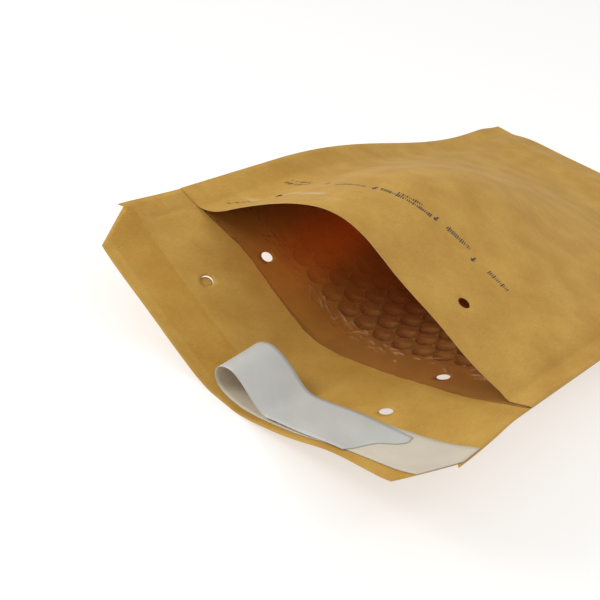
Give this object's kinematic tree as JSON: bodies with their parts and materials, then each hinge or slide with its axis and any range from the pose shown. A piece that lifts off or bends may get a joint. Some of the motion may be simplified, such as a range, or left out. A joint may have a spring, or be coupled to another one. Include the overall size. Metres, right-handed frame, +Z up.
{
  "type": "padded envelope",
  "caption": "Open padded mailing envelope of kraft paper with a bubble film liner, punched holes and a half-peeled flap strip.",
  "frame": {"origin": "on the rest surface, under the middle of the envelope's box", "axes": "+X across the envelope, +Y from the flap towards the closed bottom, +Z up off the rest surface"},
  "size_m": [0.1998, 0.3288, 0.0594],
  "materials": {
    "kraft_paper": "uncoated golden kraft paper, fine fibres",
    "bubble_film": "clear glossy polyethylene film",
    "hot_melt_glue": "thin glossy glue on paper",
    "release_paper": "siliconised white paper, satin"
  },
  "bodies": {
    "root": {"kraft_envelope": "kraft_paper", "bubble_liner": "bubble_film", "adhesive_strip": "hot_melt_glue", "release_strip": "release_paper"}
  },
  "joints": []
}
